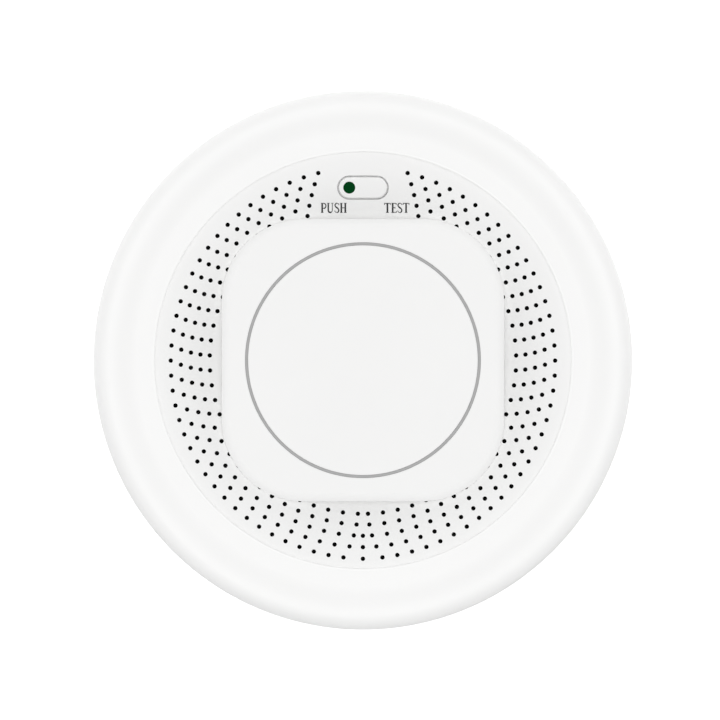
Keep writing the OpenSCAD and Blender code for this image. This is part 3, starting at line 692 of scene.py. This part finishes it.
def button_top(point):
    """Height of the button's face, which runs parallel to the dish."""
    return dish_height(point.length) + BUTTON_PROUD


def pierced_face(outline, hole, height):
    """Fine triangles that fill an outline except for a hole in it."""
    points, triangles, owners = flat_fill([outline, hole], 0.45 * MM)
    kept = [tuple(triangle) for triangle, owner in zip(triangles, owners) if 1 not in owner]
    return level_ring(points, height), kept


def test_button():
    """The pressed piece: a crowned face, a ledge below the dish, a flange under the grille and a stem."""

    def grown(grow, height):
        return level_ring(stadium(BUTTON_L + 2 * grow, BUTTON_W + 2 * grow), height)

    def follow(grow, drop):
        return grown(grow, lambda point: button_top(point) - drop)

    crown_steps = 6
    rings = []
    for k in range(crown_steps + 1):
        turn = math.pi / 2 * k / crown_steps
        rings.append(follow(BUTTON_EDGE_R * (math.sin(turn) - 1), BUTTON_EDGE_R * (1 - math.cos(turn))))
    flange_top = BUTTON_FLANGE_LOW + BUTTON_FLANGE_T
    rings += [
        follow(0, LEDGE_DROP),
        follow(LEDGE_W, LEDGE_DROP + 0.05 * MM),
        grown(LEDGE_W, flange_top),
        grown(BUTTON_FLANGE_W, flange_top),
        grown(BUTTON_FLANGE_W, BUTTON_FLANGE_LOW),
    ]
    lens_hole = circle((PIPE_X, BUTTON_Y), LENS_R + LENS_GAP)
    face, foot = ([Vector(point[:2]) for point in rings[k]] for k in (0, -1))
    stem_ring = circle((STEM_X, BUTTON_Y), STEM_R)
    stem_ends = (BUTTON_FLANGE_LOW + 0.3 * MM, button_low.z)
    shapes = [
        skin(rings),
        skin([level_ring(lens_hole, height) for height in (button_top, BUTTON_FLANGE_LOW)]),
        pierced_face(face, lens_hole, button_top),
        pierced_face(foot, lens_hole, BUTTON_FLANGE_LOW),
        skin([level_ring(stem_ring, height) for height in stem_ends], close_ends=True),
    ]
    make_piece("button_cap", joined(shapes), "button", button_white, ["test_button"])


def light_pipe():
    """The green window: a low dome that leans with the button's face, and a foot that holds it there."""
    centre = (PIPE_X, BUTTON_Y)
    dome_h = 0.1 * MM
    dome_steps = 8
    lean = (dish_height(BUTTON_Y + LENS_R) - dish_height(BUTTON_Y - LENS_R)) / (2 * LENS_R)
    crown = button_top(Vector(centre)) + 0.08 * MM
    rings = []
    for k in range(dome_steps + 1):
        turn = math.pi / 2 * k / dome_steps
        rim = crown - dome_h * (1 - math.cos(turn))
        outline = circle(centre, max(LENS_R * math.sin(turn), 0.02 * MM))
        rings.append([(p.x, p.y, rim + lean * (p.y - BUTTON_Y)) for p in outline])
    foot_r = LENS_R + 0.4 * MM
    foot_top = pipe_low.z + 0.5 * MM
    foot_round = 0.05 * MM
    rings += [
        level_ring(circle(centre, LENS_R), foot_top),
        level_ring(circle(centre, foot_r), foot_top),
        level_ring(circle(centre, foot_r), pipe_low.z + foot_round),
        level_ring(circle(centre, foot_r - foot_round), pipe_low.z),
    ]
    make_piece("lens", skin(rings, close_ends=True), "button", green_lens, ["light_pipe"])


def grey_circle():
    """The inlaid ring in the cap, with softened edges."""
    outer = accent_high.y
    inner = inner_edge("accent_ring")[0]
    soft = 0.08 * MM
    bevel = soft * 0.3
    low, high = accent_low.z, accent_high.z
    ring = lathe([
        (inner, low), (outer, low), (outer, high - soft), (outer - bevel, high - bevel),
        (outer - soft, high), (inner + soft, high), (inner + bevel, high - bevel), (inner, high - soft),
    ])
    make_piece("grey_circle", ring, "head", accent_grey, ["accent_ring"])


test_button()
light_pipe()
grey_circle()


# ---------- battery cells ----------


def battery_cell(name, node, turn):
    """A cell that points to +X or -X: a sleeve in two colours, a bare rim at each end and the nub."""
    low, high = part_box(node)
    length = high.x - low.x
    radius = (high.y - low.y) / 2
    centre_y, centre_z = (low.y + high.y) / 2, (low.z + high.z) / 2
    flat_end = low.x if turn > 0 else high.x
    can = length - 1.1 * MM
    split = can * 0.72
    soft = 0.5 * MM
    chamfer = 0.15 * soft
    sleeve_inner_r = radius - 0.3 * MM
    crimp_r = radius - 0.9 * MM
    can_r = radius - 0.8 * MM
    nub_r = 2.7 * MM
    nub_soft = 0.35 * MM
    zones = {
        "wrap": [
            (crimp_r, 0.12 * MM), (radius - soft, 0), (radius - chamfer, chamfer), (radius, soft),
            (radius, split), (sleeve_inner_r, split), (crimp_r, 0.3 * MM),
        ],
        "band": [
            (radius, split), (radius, can - soft), (radius - chamfer, can - chamfer),
            (radius - soft, can), (crimp_r, can - 0.12 * MM), (crimp_r, split), (sleeve_inner_r, split),
        ],
        "steel": [
            (0, 0.05 * MM), (radius - 1.1 * MM, 0.05 * MM), (can_r, 0.4 * MM), (can_r, can - 0.4 * MM),
            (radius - 1.6 * MM, can - 0.2 * MM), (3.4 * MM, can - 0.35 * MM), (nub_r, can - 0.2 * MM),
            (nub_r, length - nub_soft), (nub_r - nub_soft, length), (0, length),
        ],
    }
    looks = {
        "wrap": ("cell_wrap", cell_wrap, [node]),
        "band": ("cell_wrap", cell_band, ()),
        "steel": ("plated_steel", steel, ()),
    }
    for zone, profile in zones.items():
        verts, faces = lathe(profile, steps=96, close=zone != "steel")
        placed = [(flat_end + turn * z, centre_y + x, centre_z + y) for x, y, z in verts]
        slot, material, replaced = looks[zone]
        make_piece(f"{name}_{zone}", (placed, faces), "head", material, replaced)


battery_cell("cell_a", "battery_cell_a", 1)
battery_cell("cell_b", "battery_cell_b", -1)


# ---------- floor, light and camera ----------


def pale_floor():
    """A white sweep: plain white seen from straight above, with a soft contact shadow seen from the side.

    It also throws a weak glow on the alarm's button side, which cameras don't see.
    """
    reach, drop = 6.0, 0.2 * MM
    overhead = (0.97, 0.995)
    mesh = bpy.data.meshes.new("floor")
    corners = [(x * reach, y * reach, -drop) for x, y in ((-1, -1), (1, -1), (1, 1), (-1, 1))]
    mesh.from_pydata(corners, [], [(0, 1, 2, 3)])
    floor = bpy.data.objects.new("floor", mesh)
    bpy.context.scene.collection.objects.link(floor)
    look = Surface("floor_white")
    geometry = look.new("NewGeometry")
    seen = look.new("LightPath").outputs["Is Camera Ray"]
    from_above = look.map_range(look.component(geometry.outputs["Incoming"], "Z"), *overhead, to_high=0.8)
    glow = look.map_range(look.component(geometry.outputs["Position"], "Y"), -COVER_R, 0, to_high=0.5)
    look.set(
        Base_Color=(0.85, 0.85, 0.85, 1),
        Roughness=0.9,
        Emission_Color=(1, 1, 1, 1),
        Emission_Strength=look.mix(seen, glow, from_above, kind="FLOAT"),
    )
    mesh.materials.append(look.material)


def studio():
    """A white surround that grows stronger overhead, with a broad soft light straight above the face."""
    side_light, rise = 0.47, (0, 0.04, 0.28)
    overhead_light, overhead_focus = 2.45, 12
    world = bpy.data.worlds.new("studio")
    bpy.context.scene.world = world
    nodes = Nodes(world)
    direction = nodes.new("TexCoord").outputs["Generated"]
    surround = nodes.math("ADD", nodes.vector_math("DOT_PRODUCT", "Value", direction, rise), side_light)
    upward = nodes.math("MAXIMUM", nodes.component(direction, "Z"), 0)
    overhead = nodes.math("MULTIPLY", nodes.math("POWER", upward, overhead_focus), overhead_light)
    background = nodes.tree.nodes["Background"]
    background.inputs["Color"].default_value = (1, 1, 1, 1)
    nodes.feed(background.inputs["Strength"], nodes.math("ADD", surround, overhead))


def face_camera():
    """Straight on to the face, from far away through a long lens."""
    distance = 5.0
    frame_width = 160.4 * MM
    aim = (-0.656 * MM, 0.04 * MM, COVER_TOP - 10 * MM)
    data = bpy.data.cameras.new("camera")
    data.sensor_width = 36
    data.lens = data.sensor_width * distance / frame_width
    data.clip_end = 10 * distance
    camera = bpy.data.objects.new("camera", data)
    bpy.context.scene.collection.objects.link(camera)
    camera.location = (aim[0], aim[1], aim[2] + distance)
    bpy.context.scene.camera = camera


pale_floor()
studio()
face_camera()
bpy.context.scene.view_settings.view_transform = "Standard"
